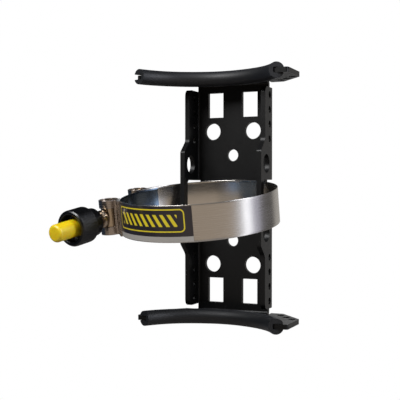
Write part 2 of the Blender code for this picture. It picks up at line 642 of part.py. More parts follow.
def make_cap():
    """Soft closed cap over the bolt's free end."""
    end = CAP_START + CAP_LENGTH
    nose = arc((CAP_RADIUS - CAP_END_ROUND, end - CAP_END_ROUND), CAP_END_ROUND, pi / 2, 0, EDGE_STEPS)
    return on_bolt("thread_cap", [
        (0, end), *nose, (CAP_RADIUS, CAP_START), (BOLT_BORE, CAP_START), (BOLT_BORE, end - CAP_WALL),
        (0, end - CAP_WALL),
    ], False, CAP_YELLOW, CAP_STEPS)


clear_scene()
PARTS = new_collection("cylinder_bracket")
CUTTERS = new_collection("cutters")
POWDER_COAT = material("powder_coat", (0.018, 0.018, 0.020), 0.0, 0.45)
RUBBER = material("rubber", (0.030, 0.032, 0.038), 0.0, 0.60)
STEEL = material("stainless_steel", (0.62, 0.60, 0.57), 1.0, 0.28)
KNOB_BLACK = material("knob_black", (0.012, 0.012, 0.013), 0.0, 0.40)
BRASS = material("brass", (0.70, 0.55, 0.28), 1.0, 0.35)
CAP_YELLOW = material("cap_yellow", (0.78, 0.62, 0.02), 0.0, 0.45)
LABEL_FILM = material("label_film", (0.015, 0.014, 0.018), 0.0, 0.30)

CLAMP_PIVOT = empty("clamp_pivot", location=(0, -BAND_PIVOT_DEPTH, 0), rotation=(BAND_TILT, BAND_ROLL, 0))
BAND_CENTRE = empty("band_centre", CLAMP_PIVOT, location=(BAND_CENTRE_X, -BAND_CENTRE_REACH, 0))
BOLT_PIVOT = empty(
    "bolt_pivot", BAND_CENTRE,
    location=(LOOP_CENTRE_RADIUS * cos(FRONT_LOOP_ANGLE), LOOP_CENTRE_RADIUS * sin(FRONT_LOOP_ANGLE), 0),
    rotation=(0, BOLT_DROOP, BOLT_ANGLE))
BOLT_AXIS = empty("bolt_axis", BOLT_PIVOT, rotation=(0, pi / 2, 0))
TRUNNION_PIVOT = empty(
    "trunnion_pivot", BAND_CENTRE,
    location=(LOOP_CENTRE_RADIUS * cos(REAR_LOOP_ANGLE), LOOP_CENTRE_RADIUS * sin(REAR_LOOP_ANGLE), 0),
    rotation=(0, 0, REAR_LOOP_ANGLE))

make_bracket()
make_trim("upper_edge_trim", 1, UPPER_TRIM_LEFT_OVERHANG)
make_trim("lower_edge_trim", -1, LOWER_TRIM_LEFT_OVERHANG)
strip("band_strap", BAND_OUTER_RADIUS, BAND_THICKNESS, BAND_WIDTH, BAND_FRONT_END, BAND_REAR_END + tau, STEEL)
strip("gap_bridge", BAND_INNER_RADIUS - GAP, BRIDGE_THICKNESS, BAND_WIDTH - 2 * BRIDGE_EDGE_INSET, BRIDGE_START,
      BRIDGE_END, STEEL)
strip("label_film", BAND_OUTER_RADIUS + GAP + LABEL_THICKNESS, LABEL_THICKNESS, BAND_WIDTH - 2 * LABEL_EDGE_INSET,
      LABEL_START, LABEL_END, LABEL_FILM)
make_loop("front_loop_strap", FRONT_LOOP_ANGLE, 1)
make_loop("rear_loop_strap", REAR_LOOP_ANGLE, -1)
make_cross_pin()
make_rear_trunnion()
make_bolt()
make_sleeve()
make_washer()
make_knob()
make_insert()
make_cap()
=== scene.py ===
# %% [markdown]
# # Cylinder bracket with a quick-release band clamp
#
# The object is a wall bracket for a portable gas cylinder. One steel plate is cut, bent and powder coated,
# its two saddles wear round rubber strips, and a stainless band hangs in two slots with its swing bolt
# open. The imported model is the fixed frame; this notebook puts a finished surface over each of its pieces
# and never moves one.

# %% Load the frame
import json
from math import cos, pi, radians, sin, tau

import bmesh
import bpy
import numpy as np
from mathutils import Matrix, Vector


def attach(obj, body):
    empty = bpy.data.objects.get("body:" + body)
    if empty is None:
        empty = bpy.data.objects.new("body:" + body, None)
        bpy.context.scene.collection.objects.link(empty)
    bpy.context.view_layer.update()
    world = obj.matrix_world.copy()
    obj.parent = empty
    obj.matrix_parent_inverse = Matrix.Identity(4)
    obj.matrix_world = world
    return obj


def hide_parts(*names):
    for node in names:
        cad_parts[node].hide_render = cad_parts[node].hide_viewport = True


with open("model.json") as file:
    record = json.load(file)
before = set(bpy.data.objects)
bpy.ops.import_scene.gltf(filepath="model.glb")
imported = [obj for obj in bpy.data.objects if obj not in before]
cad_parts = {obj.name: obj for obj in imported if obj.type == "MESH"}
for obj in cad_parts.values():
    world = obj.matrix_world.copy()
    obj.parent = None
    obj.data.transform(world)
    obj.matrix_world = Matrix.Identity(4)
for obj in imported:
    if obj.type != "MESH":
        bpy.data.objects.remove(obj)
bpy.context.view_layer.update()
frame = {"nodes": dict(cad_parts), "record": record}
MM = 0.001
print("nodes:", sorted(frame["nodes"]))

# %% [markdown]
# ## Reading places from the frame
#
# The joints say where the clamp's moving pieces turn. The band's own axis is the axis of the bar in its
# rear loop, and the bolt's axis is the direction in which its knob travels. Every round piece is described
# in one of these two cylindrical systems, so nothing has to be fitted by eye.


# %% Axes of the band and of the bolt
def joint(name):
    return next(entry for entry in frame["record"]["behaviour"]["joints"] if entry["name"] == name)


def unit(vector):
    vector = np.asarray(vector, float)
    return vector / np.linalg.norm(vector)


def corners_of(node):
    """A CAD node's vertices as an (n, 3) array."""
    mesh = frame["nodes"][node].data
    found = np.empty(3 * len(mesh.vertices))
    mesh.vertices.foreach_get("co", found)
    return found.reshape(-1, 3)


class Axis:
    """A cylindrical system: an origin, its own z, and an x as near as can be to a given direction."""

    def __init__(self, origin, direction, x_hint):
        self.origin = np.asarray(origin, float)
        self.z = unit(direction)
        self.x = unit(np.asarray(x_hint, float) - np.dot(x_hint, self.z) * self.z)
        self.y = np.cross(self.z, self.x)

    def world(self, radius, angle, height):
        """Points at a radius, an angle from x and a height along z; the three are arrays that broadcast."""
        radius, angle, height = np.broadcast_arrays(radius, angle, height)
        flat = radius[..., None] * (np.cos(angle)[..., None] * self.x + np.sin(angle)[..., None] * self.y)
        return self.origin + flat + height[..., None] * self.z

    def polar(self, points):
        """(radius, angle, height) of world points."""
        local = points - self.origin
        across, along = local @ self.x, local @ self.y
        return np.hypot(across, along), np.arctan2(along, across), local @ self.z


def circle_centre(points, z):
    """Centre of the circle nearest to points that stand round a direction z."""
    x = unit(np.cross(z, (0.0, 0.0, 1.0)) if abs(z[2]) < 0.9 else np.cross((0.0, 1.0, 0.0), z))
    y = np.cross(z, x)
    flat = np.column_stack([points @ x, points @ y])
    terms = np.column_stack([2 * flat, np.ones(len(flat))])
    solved = np.linalg.lstsq(terms, (flat ** 2).sum(axis=1), rcond=None)[0]
    return solved[0] * x + solved[1] * y + (points @ z).mean() * z


band_z = unit(joint("trunnion_turn")["axis"])
band_points = corners_of("band_strap")
BAND = Axis(circle_centre(band_points, band_z), band_z, (1.0, 0.0, 0.0))
FRONT_PIN = np.array(joint("bolt_swing")["pos_m"])
REAR_PIN = np.array(joint("trunnion_turn")["pos_m"])
BOLT = Axis(FRONT_PIN, joint("knob_travel")["axis"], joint("bolt_swing")["axis"])
print("band centre (mm):", (BAND.origin / MM).round(2), " bolt direction:", BOLT.z.round(3))

# %% [markdown]
# ## Surfaces from two parameters
#
# Every new piece is a grid of points: one parameter runs along a path and the other round a section. One
# function turns such a grid into a mesh with a UV map in real metres, so that brushing, extrusion lines and
# print can follow the surface. A turned piece is the same grid with its path bent into a circle.


# %% Grid to mesh
def grid_piece(name, points, along, across, wrap_along=False, wrap_across=False, keep=None, capped=False):
    """Quads between neighbouring grid points; along and across are the distances for the UV map."""
    rows, columns = points.shape[:2]
    i, j = np.meshgrid(np.arange(rows if wrap_along else rows - 1),
                       np.arange(columns if wrap_across else columns - 1), indexing="ij")
    i, j = i.ravel(), j.ravel()
    if keep is not None:
        i, j = i[keep[i, j]], j[keep[i, j]]
    next_i, next_j = (i + 1) % rows, (j + 1) % columns
    quads = np.stack([i * columns + j, next_i * columns + j, next_i * columns + next_j, i * columns + next_j],
                     axis=1)
    cell = ((i, j), (i + 1, j), (i + 1, j + 1), (i, j + 1))
    uv = np.stack([np.stack([along[a], across[b]], axis=1) for a, b in cell], axis=1).reshape(-1, 2)
    faces = quads.tolist()
    if capped:
        first = np.arange(columns)
        faces += [first.tolist(), ((rows - 1) * columns + first[::-1]).tolist()]
        uv = np.concatenate([uv, np.column_stack([np.zeros(columns), across[:columns]]),
                             np.column_stack([np.full(columns, along[-1]), across[:columns][::-1]])])
    mesh = bpy.data.meshes.new(name)
    mesh.from_pydata(points.reshape(-1, 3).tolist(), [], faces)
    mesh.uv_layers.new(name="surface").data.foreach_set("uv", uv.astype(np.float32).ravel())
    piece = bpy.data.objects.new(name, mesh)
    bpy.context.scene.collection.objects.link(piece)
    return piece


def tidy(piece, closed=True, sharp=35):
    """Merges the points that meet at poles, turns the faces outwards and shades the piece smooth."""
    shape = bmesh.new()
    shape.from_mesh(piece.data)
    bmesh.ops.remove_doubles(shape, verts=shape.verts, dist=1e-7)
    bmesh.ops.delete(shape, geom=[v for v in shape.verts if not v.link_faces], context="VERTS")
    if closed:
        bmesh.ops.recalc_face_normals(shape, faces=shape.faces)
    shape.to_mesh(piece.data)
    shape.free()
    piece.data.shade_smooth()
    piece.data.set_sharp_from_angle(angle=radians(sharp))
    return piece


def distance(points):
    """Running distance along a line of points."""
    return np.concatenate([[0.0], np.cumsum(np.linalg.norm(np.diff(points, axis=0), axis=1))])


def fillet(corners, steps=4):
    """A line of (x, y, radius) corners with each inner corner rounded by an arc of its radius."""
    corners = [(*c, 0.0) if len(c) == 2 else c for c in corners]
    line = [corners[0][:2]]
    for before, here, after in zip(corners, corners[1:], corners[2:]):
        spot = Vector(here[:2])
        a, b = (Vector(before[:2]) - spot).normalized(), (Vector(after[:2]) - spot).normalized()
        half = a.angle(b) / 2
        if here[2] <= 0 or half > pi / 2 - 1e-3:
            line.append(tuple(spot))
            continue
        centre = spot + (a + b).normalized() * here[2] / sin(half)
        spoke = spot + a * here[2] * cos(half) / sin(half) - centre
        turn = (pi - 2 * half) * (-1 if a.cross(b) > 0 else 1)
        for k in range(steps + 1):
            line.append(tuple(centre + Matrix.Rotation(turn * k / steps, 2) @ spoke))
    line.append(corners[-1][:2])
    return np.array(line)


def turned(name, axis, profile, steps=96, closed_profile=False):
    """A profile of (radius, height) points turned about an axis; the UV map runs along it and round it."""
    profile = np.asarray(profile)
    angle = np.arange(steps) * tau / steps
    points = axis.world(profile[:, :1], angle[None, :], profile[:, 1:])
    row = distance(np.vstack([profile, profile[:1]]) if closed_profile else profile)
    column = np.arange(steps + 1) * tau / steps * profile[:, 0].max()
    return tidy(grid_piece(name, points, row, column, wrap_along=closed_profile, wrap_across=True))


# %% [markdown]
# ## Finishes
#
# A material here is a short recipe: the real finish, its colour as a hex value, and one or two patterns
# whose scale is a real size in millimetres. One small function adds a node with its settings and links.
# Colours are written as they look on a screen and turned to linear light once.


# %% Material helpers
def linear(hex_colour):
    """sRGB hex to linear RGBA."""
    srgb = np.array([int(hex_colour[k:k + 2], 16) for k in (1, 3, 5)]) / 255
    light = np.where(srgb <= 0.04045, srgb / 12.92, ((srgb + 0.055) / 1.055) ** 2.4)
    return (*light.tolist(), 1.0)


def add(tree, kind, inputs=None, **settings):
    """Adds a node; an input is a value or the socket that feeds it."""
    made = tree.nodes.new(kind)
    for key, value in settings.items():
        setattr(made, key, value)
    for socket, value in (inputs or {}).items():
        if isinstance(value, bpy.types.NodeSocket):
            tree.links.new(value, made.inputs[socket])
        else:
            made.inputs[socket].default_value = value
    return made


def maths(tree, operation, first, second=0.0, third=0.0):
    """One step of arithmetic on values or sockets."""
    return add(tree, "ShaderNodeMath", {0: first, 1: second, 2: third}, operation=operation).outputs["Value"]


def new_finish(name, **sockets):
    """An empty recipe: (material, its tree, its Principled shader with the given sockets set)."""
    made = bpy.data.materials.new(name)
    made.use_nodes = True
    shader = made.node_tree.nodes["Principled BSDF"]
    for socket, value in sockets.items():
        shader.inputs[socket.replace("_", " ")].default_value = value
    return made, made.node_tree, shader


def stretched(tree, source, scale):
    """Coordinates from a Texture Coordinate output, multiplied by a scale in each direction."""
    where = add(tree, "ShaderNodeTexCoord")
    return add(tree, "ShaderNodeMapping", {"Vector": where.outputs[source], "Scale": scale}).outputs["Vector"]


def noise(tree, vector, scale, detail=2.0, roughness=0.5):
    return add(tree, "ShaderNodeTexNoise",
               {"Vector": vector, "Scale": scale, "Detail": detail, "Roughness": roughness}).outputs["Fac"]


def remap(tree, value, low, high, start=0.3, end=0.7):
    """Moves a pattern's start to end range onto low to high."""
    return add(tree, "ShaderNodeMapRange", {"Value": value, "From Min": start, "From Max": end, "To Min": low,
                                            "To Max": high}).outputs["Result"]


def tint(tree, value, dark, light):
    """A colour that runs from dark to light with a pattern."""
    blend = add(tree, "ShaderNodeMix", {"Factor": value}, data_type="RGBA")
    blend.inputs["A"].default_value = linear(dark)
    blend.inputs["B"].default_value = linear(light)
    return blend.outputs["Result"]


def bump(tree, shader, height, depth, strength=1.0):
    """Feeds a pattern to the shader as relief of a real depth in metres."""
    relief = add(tree, "ShaderNodeBump", {"Height": height, "Distance": depth, "Strength": strength})
    tree.links.new(relief.outputs["Normal"], shader.inputs["Normal"])


PER_MM = 1000.0
EVENLY = (PER_MM, PER_MM, PER_MM)

# %% [markdown]
# ### Powder coat on steel plate
#
# Polyester powder melts into a satin skin with a soft orange peel a millimetre or two across. The eye reads
# it from the way a highlight breaks up, so the peel is relief and a small change of roughness, not colour.


# %% Powder coat
def powder_coat():
    made, tree, shader = new_finish("powder_coat_satin_black", Specular_IOR_Level=0.3)
    where = stretched(tree, "Object", EVENLY)
    peel = noise(tree, where, 1 / 1.6, 2.0)
    grain = noise(tree, where, 1 / 0.35, 1.0)
    cloud = noise(tree, where, 1 / 45, 3.0)
    tree.links.new(tint(tree, cloud, "#070707", "#0b0b0c"), shader.inputs["Base Color"])
    tree.links.new(remap(tree, peel, 0.36, 0.46), shader.inputs["Roughness"])
    both = maths(tree, "MULTIPLY_ADD", grain, 0.35, peel)
    bump(tree, shader, both, 0.05 * MM, 0.5)
    return made


# %% [markdown]
# ### Extruded rubber
#
# The edge strips are EPDM, drawn through a die, so fine lines run along them. Carbon black leaves a dull
# grey bloom that shows as a soft sheen at a grazing angle.


# %% Rubber
def rubber():
    made, tree, shader = new_finish("epdm_rubber_extruded", IOR=1.5, Sheen_Weight=0.06, Sheen_Roughness=0.4)
    shader.inputs["Sheen Tint"].default_value = linear("#aab4c8")
    lines = noise(tree, stretched(tree, "UV", (PER_MM / 30, PER_MM / 0.5, 1)), 1.0, 2.0)
    dust = noise(tree, stretched(tree, "Object", EVENLY), 1 / 12, 4.0)
    tree.links.new(tint(tree, dust, "#0a0b0c", "#121316"), shader.inputs["Base Color"])
    tree.links.new(remap(tree, lines, 0.46, 0.60), shader.inputs["Roughness"])
    bump(tree, shader, lines, 0.06 * MM, 0.5)
    return made


# %% [markdown]
# ### Stainless steel
#
# The band is bright-rolled 304 strip, brushed lightly along its length: hairlines 0.2 mm apart and many
# centimetres long. Its face against the cylinder is smoother, as it left the rolls, and its colour is a
# little lighter as painted light. The bridge across the gap is darker and blue: a painted dark blue
# reflection. Turned pieces carry rings instead. All come from one recipe, stretched differently over
# the UV map.


# %% Stainless steel
def stainless(name, along_mm, across_mm, rough, anisotropy, dark="#b9b3aa", light="#d3cec6"):
    made, tree, shader = new_finish(name, Metallic=1.0, Anisotropic=anisotropy)
    lines = noise(tree, stretched(tree, "UV", (PER_MM / along_mm, PER_MM / across_mm, 1)), 1.0, 3.0, 0.6)
    wave = noise(tree, stretched(tree, "Object", EVENLY), 1 / 40, 2.0)
    tree.links.new(tint(tree, lines, dark, light), shader.inputs["Base Color"])
    smeared = maths(tree, "MULTIPLY_ADD", wave, 0.4, lines)
    tree.links.new(remap(tree, smeared, rough - 0.05, rough + 0.07, 0.5, 0.9), shader.inputs["Roughness"])
    bump(tree, shader, lines, 0.012 * MM, 0.35)
    return made


# %% [markdown]
# ### Knob, bush and cap
#
# The knob is black anodised aluminium, cut with a knurl that is real geometry here. Its bush is turned
# brass. The cap is dip-moulded vinyl: soft, slightly see-through at its edge, with faint streaks along it.


# %% Knob, bush and cap finishes
def anodised():
    made, tree, shader = new_finish("black_anodised_aluminium", IOR=1.5, Specular_IOR_Level=0.55)
    fine = noise(tree, stretched(tree, "Object", EVENLY), 1 / 0.6, 2.0)
    tree.links.new(tint(tree, fine, "#050506", "#0b0b0c"), shader.inputs["Base Color"])
    tree.links.new(remap(tree, fine, 0.20, 0.30), shader.inputs["Roughness"])
    return made


def brass():
    made, tree, shader = new_finish("turned_brass", Metallic=1.0)
    rings = noise(tree, stretched(tree, "UV", (PER_MM / 0.25, PER_MM / 30, 1)), 1.0, 2.0)
    tree.links.new(tint(tree, rings, "#a98a4a", "#cbb072"), shader.inputs["Base Color"])
    tree.links.new(remap(tree, rings, 0.25, 0.4), shader.inputs["Roughness"])
    bump(tree, shader, rings, 0.02 * MM, 0.4)
    return made


def vinyl():
    made, tree, shader = new_finish("dipped_vinyl_yellow", IOR=1.53, Coat_Weight=0.2, Coat_Roughness=0.25,
                                    Subsurface_Weight=0.25, Subsurface_Scale=1.5 * MM)
    streaks = noise(tree, stretched(tree, "UV", (PER_MM / 25, PER_MM / 1.2, 1)), 1.0, 2.0)
    tree.links.new(tint(tree, streaks, "#d4ae08", "#ecd41a"), shader.inputs["Base Color"])
    tree.links.new(remap(tree, streaks, 0.32, 0.45), shader.inputs["Roughness"])
    bump(tree, shader, streaks, 0.08 * MM, 0.4)
    return made


POWDER = powder_coat()
RUBBER = rubber()
STRIP = stainless("brushed_stainless_strip", 90, 0.22, 0.22, 0.45, "#bcb7b0", "#d6d2cc")
# A little lighter than the outer face: painted light on the band's inside
INNER_STRIP_PAINTED_LIGHT = stainless("rolled_stainless_inner_face_painted_light", 70, 0.3, 0.18, 0.4, "#c4c0ba", "#dedad4")
# Darker and blue: a painted dark blue reflection on the bridge inside the gap
BRIDGE_STRIP_PAINTED_REFLECTION = stainless("rolled_stainless_bridge_painted_reflection", 60, 0.3, 0.16, 0.3, "#6b7c8e", "#8496ab")
FOLDED = stainless("folded_stainless_strap", 60, 0.3, 0.24, 0.3, "#9f968f", "#c0b6ae")
TURNED = stainless("turned_stainless", 0.3, 40, 0.16, 0.2, "#a6957f", "#cdbca6")
ANODISED = anodised()
BRASS = brass()
VINYL = vinyl()
print("finishes:", ", ".join(sorted(made.name for made in bpy.data.materials)))


def dress(piece, material, body, slot, *nodes):
    """Gives a finished piece its material and its body, and hides the CAD nodes it stands for; slot is not
    used.
    """
    piece.data.materials.clear()
    piece.data.materials.append(material)
    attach(piece, body)
    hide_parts(*nodes)
    print(f"{piece.name}: {len(piece.data.polygons)} faces on {body}")
    return piece


# %% [markdown]
# ## The bent plate
#
# The bracket is full of holes, which a two-parameter grid can't hold, so its surface is a merged copy of
# the CAD plate. Flat neighbours are joined into whole faces and a small bevel rounds every cut edge, as
# tumbling and a coat of powder do.


# %% Plate with rounded edges
def softened_copy(node, name, width, segments=2):
    source = frame["nodes"][node].data
    mesh = bpy.data.meshes.new(name)
    shape = bmesh.new()
    shape.from_mesh(source)
    bmesh.ops.remove_doubles(shape, verts=shape.verts, dist=2e-6)
    bmesh.ops.dissolve_limit(shape, angle_limit=radians(1.0), verts=shape.verts, edges=shape.edges)
    shape.to_mesh(mesh)
    shape.free()
    piece = bpy.data.objects.new(name, mesh)
    bpy.context.scene.collection.objects.link(piece)
    mesh.shade_smooth()
    edge = piece.modifiers.new("rounded_edges", "BEVEL")
    edge.width = width
    edge.segments = segments
    edge.limit_method = "ANGLE"
    edge.angle_limit = radians(35)
    edge.use_clamp_overlap = True
    flat = piece.modifiers.new("flat_faces", "WEIGHTED_NORMAL")
    flat.mode = "FACE_AREA"
    flat.weight = 100
    return piece


plate = softened_copy("mounting_bracket", "bent_plate", 0.7 * MM)
dress(plate, POWDER, "bracket", "powder_coat", "mounting_bracket")

# %% [markdown]
# ## Rubber edge strips
#
# A round strip with a slot is one outline carried along an arc. The outline starts and ends inside the
# slot, its two lips are rounded, and a slow wobble of about a tenth of a millimetre keeps it from looking
# machined.

# %% Edge strips
STRIP_RADIUS = float(np.ptp(corners_of("upper_edge_trim")[:, 2])) / 2
SLOT_HALF = 3.3 * MM
SLOT_REACH = 4.1 * MM
LIP = 0.8 * MM
WOBBLE = 0.012
WOBBLES_PER_RADIAN = 9
WOBBLE_SHIFT = 40
# Shells round the strip's inner side, ever thinner, that close in on the circle it follows
SHELLS = [thickness * MM for thickness in (8, 4, 2, 1, 0.5, 0.3, 0.3)]


def strip_path(node):
    """(centre, radius, first angle, last angle) of the arc that a strip's middle follows, seen from above."""
    points = corners_of(node)
    middle_z = (points[:, 2].max() + points[:, 2].min()) / 2
    inner = points[np.abs(points[:, 2] - middle_z) < STRIP_RADIUS / 2]
    guess = np.array([points[:, 0].mean(), points[:, 1].min() - STRIP_RADIUS * 4])
    for shell in SHELLS:
        reach = np.hypot(*(inner[:, :2] - guess).T)
        ring = inner[reach < reach.min() + shell]
        guess = circle_centre(ring, np.array([0.0, 0.0, 1.0]))[:2]
    radius = np.hypot(*(ring[:, :2] - guess).T).min() + STRIP_RADIUS
    angle = np.arctan2(points[:, 1] - guess[1], points[:, 0] - guess[0])
    return np.array([*guess, middle_z]), radius, angle.min(), angle.max()


def strip_section(points_round=44):
    """The strip's outline, x away from the cylinder: a circle of its radius, cut by the plate's slot."""
    mouth = np.arcsin((SLOT_HALF + LIP) / STRIP_RADIUS)
    turn = np.linspace(mouth, tau - mouth, points_round)
    ring = np.column_stack([STRIP_RADIUS * np.cos(turn), STRIP_RADIUS * np.sin(turn)])
    lip_x = ring[0, 0] - LIP * 0.3
    slot = np.array([(lip_x, -SLOT_HALF), (-SLOT_REACH + LIP, -SLOT_HALF), (-SLOT_REACH, -SLOT_HALF + LIP),
                     (-SLOT_REACH, SLOT_HALF - LIP), (-SLOT_REACH + LIP, SLOT_HALF), (lip_x, SLOT_HALF)])
    return np.vstack([ring, slot])


def edge_strip(name, node, steps=150):
    centre, path_radius, first, last = strip_path(node)
    print(node, "centre", (centre / MM).round(2), "radius", round(path_radius / MM, 2), "from", first, last)
    section = strip_section()
    angle = np.linspace(first, last, steps)
    swell = 1 - WOBBLE * (1 + np.sin(angle * WOBBLES_PER_RADIAN + centre[2] * WOBBLE_SHIFT)) / 2
    away = section[None, :, 0] * swell[:, None]
    up = section[None, :, 1] * swell[:, None]
    radius = path_radius + away
    points = np.stack([centre[0] + radius * np.cos(angle)[:, None],
                       centre[1] + radius * np.sin(angle)[:, None], centre[2] + up], axis=-1)
    across = distance(np.vstack([section, section[:1]]))
    piece = grid_piece(name, points, angle * path_radius, across, wrap_across=True, capped=True)
    return tidy(piece, sharp=40)


for level in ("upper", "lower"):
    node = f"{level}_edge_trim"
    dress(edge_strip(f"{level}_rubber_strip", node), RUBBER, "bracket", "rubber", node)

# %% [markdown]
# ## Band, bridge and label
#
# Each of the three is a thin strip standing on edge round the band's axis. Its section, with round edges on
# the steel and square ones on the film, is carried from one end angle to the other, and both angles and
# radii are read from the CAD node that it replaces.


# %% Strips round the band
def arc_extent(node, opposite):
    """(inner radius, outer radius, first angle, last angle, half width) of a node round the band. Its angles
    are cut open at opposite, an angle that the node doesn't reach."""
    radius, angle, height = BAND.polar(corners_of(node))
    turned_from = (angle - opposite) % tau
    return (radius.min(), radius.max(), turned_from.min() + opposite, turned_from.max() + opposite,
            np.abs(height).max())


def rounded_section(inner, outer, half_width, edge_steps=6, side_steps=15):
    """Section of a strip with round edges: two long sides joined by half circles."""
    thick = (outer - inner) / 2
    middle = (outer + inner) / 2
    turn = np.linspace(0, pi, edge_steps)
    side = np.linspace(-1, 1, side_steps)[1:-1] * (half_width - thick)
    outer_side = np.column_stack([np.full(side.size, outer), side])
    top = np.column_stack([middle + thick * np.cos(turn), half_width - thick + thick * np.sin(turn)])
    inner_side = np.column_stack([np.full(side.size, inner), side[::-1]])
    bottom = np.column_stack([middle - thick * np.cos(turn), thick - half_width - thick * np.sin(turn)])
    return np.vstack([outer_side, top, inner_side, bottom])


def band_strip(name, node, opposite, step=radians(1.0)):
    inner, outer, first, last, half_width = arc_extent(node, opposite)
    section = rounded_section(inner, outer, half_width)
    angle = np.linspace(first, last, int((last - first) / step) + 2)
    points = BAND.world(section[None, :, 0], angle[:, None], section[None, :, 1])
    across = distance(np.vstack([section, section[:1]]))
    return tidy(grid_piece(name, points, angle * outer, across, wrap_across=True, capped=True), sharp=50)


front_angle = float(BAND.polar(FRONT_PIN[None])[1][0]) % tau
rear_angle = float(BAND.polar(REAR_PIN[None])[1][0]) % tau
gap_angle = (front_angle + rear_angle) / 2
band = dress(band_strip("band", "band_strap", gap_angle), STRIP, "clamp_band", "stainless_steel",
             "band_strap")
# The bridge's dark blue steel colour is a painted reflection
dress(band_strip("inner_bridge", "gap_bridge", gap_angle + pi), BRIDGE_STRIP_PAINTED_REFLECTION, "clamp_band", "stainless_steel",
      "gap_bridge")

# The face against the cylinder is left as it came from the rolls, so it is smoother; its colour is a little
# lighter as painted light
band.data.materials.append(INNER_STRIP_PAINTED_LIGHT)
faces = len(band.data.polygons)
middles, normals = np.empty(faces * 3, np.float32), np.empty(faces * 3, np.float32)
band.data.polygons.foreach_get("center", middles)
band.data.polygons.foreach_get("normal", normals)
inward = ((middles.reshape(-1, 3) - BAND.origin) * normals.reshape(-1, 3)).sum(axis=1) < 0
band.data.polygons.foreach_set("material_index", inward.astype(np.int32))

# %% Label film
# Places and sizes of the print as shares of the film's length and height, and the print's own sizes
PRINT_CENTRE = (0.48, 0.60)
FRAME_HALF = (0.44, 0.31)
FRAME_ROUND = 0.12
FRAME_LINE = 0.7 * MM
FIELD_HALF = (0.37, 0.17)
FIELD_ROUND = 1.0 * MM
BAR_SPACING = 4.5 * MM
BAR_HALF = 2.2 * MM
BAR_SLANT = 0.6
FOOT_SHARE = 0.15


def label_finish(width, height):
    """Printed vinyl: black, with a yellow frame round a row of slanted bars and a white strip at its foot."""
    made, tree, shader = new_finish("printed_label_film", IOR=1.5, Coat_Weight=0.4, Coat_Roughness=0.12,
                                    Roughness=0.32)
    place = add(tree, "ShaderNodeSeparateXYZ", {"Vector": add(tree, "ShaderNodeTexCoord").outputs["UV"]})
    u, v = place.outputs["X"], place.outputs["Y"]

    def inside(value, edge, soft=0.08 * MM):
        return remap(tree, value, 0.0, 1.0, edge + soft, edge - soft)

    def box_distance(x, y, half_x, half_y, radius):
        """Distance to a rounded rectangle round the centre: the length of what is past its inner corners."""
        past_x = maths(tree, "MAXIMUM", maths(tree, "SUBTRACT", maths(tree, "ABSOLUTE", x), half_x - radius))
        past_y = maths(tree, "MAXIMUM", maths(tree, "SUBTRACT", maths(tree, "ABSOLUTE", y), half_y - radius))
        square = maths(tree, "MULTIPLY_ADD", past_x, past_x, maths(tree, "MULTIPLY", past_y, past_y))
        return maths(tree, "SUBTRACT", maths(tree, "SQRT", square), radius)

    x = maths(tree, "SUBTRACT", u, width * PRINT_CENTRE[0])
    y = maths(tree, "SUBTRACT", v, height * PRINT_CENTRE[1])
    outline = box_distance(x, y, width * FRAME_HALF[0], height * FRAME_HALF[1], height * FRAME_ROUND)
    frame_line = inside(maths(tree, "ABSOLUTE", outline), FRAME_LINE)
    bar = inside(maths(tree, "PINGPONG", maths(tree, "MULTIPLY_ADD", y, BAR_SLANT, x), BAR_SPACING), BAR_HALF)
    field = inside(box_distance(x, y, width * FIELD_HALF[0], height * FIELD_HALF[1], FIELD_ROUND), 0.0)
    mark = maths(tree, "MAXIMUM", frame_line, maths(tree, "MULTIPLY", bar, field))
    foot = inside(v, height * FOOT_SHARE)
    fade = noise(tree, stretched(tree, "Object", EVENLY), 1 / 20, 2.0)
    yellow = add(tree, "ShaderNodeMix", {"Factor": mark}, data_type="RGBA")
    yellow.inputs["B"].default_value = linear("#d9c62a")
    tree.links.new(tint(tree, fade, "#1d1a1e", "#2a262b"), yellow.inputs["A"])
    white = add(tree, "ShaderNodeMix", {"Factor": foot}, data_type="RGBA")
    white.inputs["B"].default_value = linear("#a3a09b")
    tree.links.new(yellow.outputs["Result"], white.inputs["A"])
    tree.links.new(white.outputs["Result"], shader.inputs["Base Color"])
    return made


def label_piece(name, node):
    """A film with a print that reads along it from its left end; the print's plane is laid out in metres."""
    inner, outer, first, last, half_width = arc_extent(node, gap_angle)
    section = np.array([(outer, -half_width), (outer, half_width), (inner, half_width), (inner, -half_width)])
    angle = np.linspace(first, last, 90)
    points = BAND.world(section[None, :, 0], angle[:, None], section[None, :, 1])
    across = np.array([0.0, 2 * half_width, 2 * half_width, 0.0, 0.0])
    piece = grid_piece(name, points, (angle - first) * outer, across, wrap_across=True, capped=True)
    return tidy(piece, sharp=50), (last - first) * outer, 2 * half_width


label, label_length, label_height = label_piece("printed_label", "label_film")
dress(label, label_finish(label_length, label_height), "clamp_band", "label_film", "label_film")

# %% [markdown]
# ## Loop straps
#
# Each strap is one strip folded round its bar and welded back on itself. Its path starts at the tail
# against the band, runs round the bar and returns on top of the first leg. The path and the strip's width
# make the grid, the window is left out of it, small dimples mark the spot welds, and Solidify gives the
# metal its thickness.

# %% Loop straps
STRAP_THICKNESS = 1.1 * MM
WINDOW_HALF = 11.0 * MM
WELD_DEPTH = 0.45 * MM
WELD_RADIUS = 2.4 * MM
WELD_COLUMNS = (5.0 * MM, 14.0 * MM)
WELD_ROWS = (-13.0 * MM, -4.5 * MM, 4.5 * MM, 13.0 * MM)
LEG_GAP = 0.05 * MM
OUTER_LEG_START = 12.0 * MM
COIL_END = radians(118)
BEND_PULL = 4.0 * MM
WINDOW_REACH = 6.3 * MM
HAIR = 1e-6


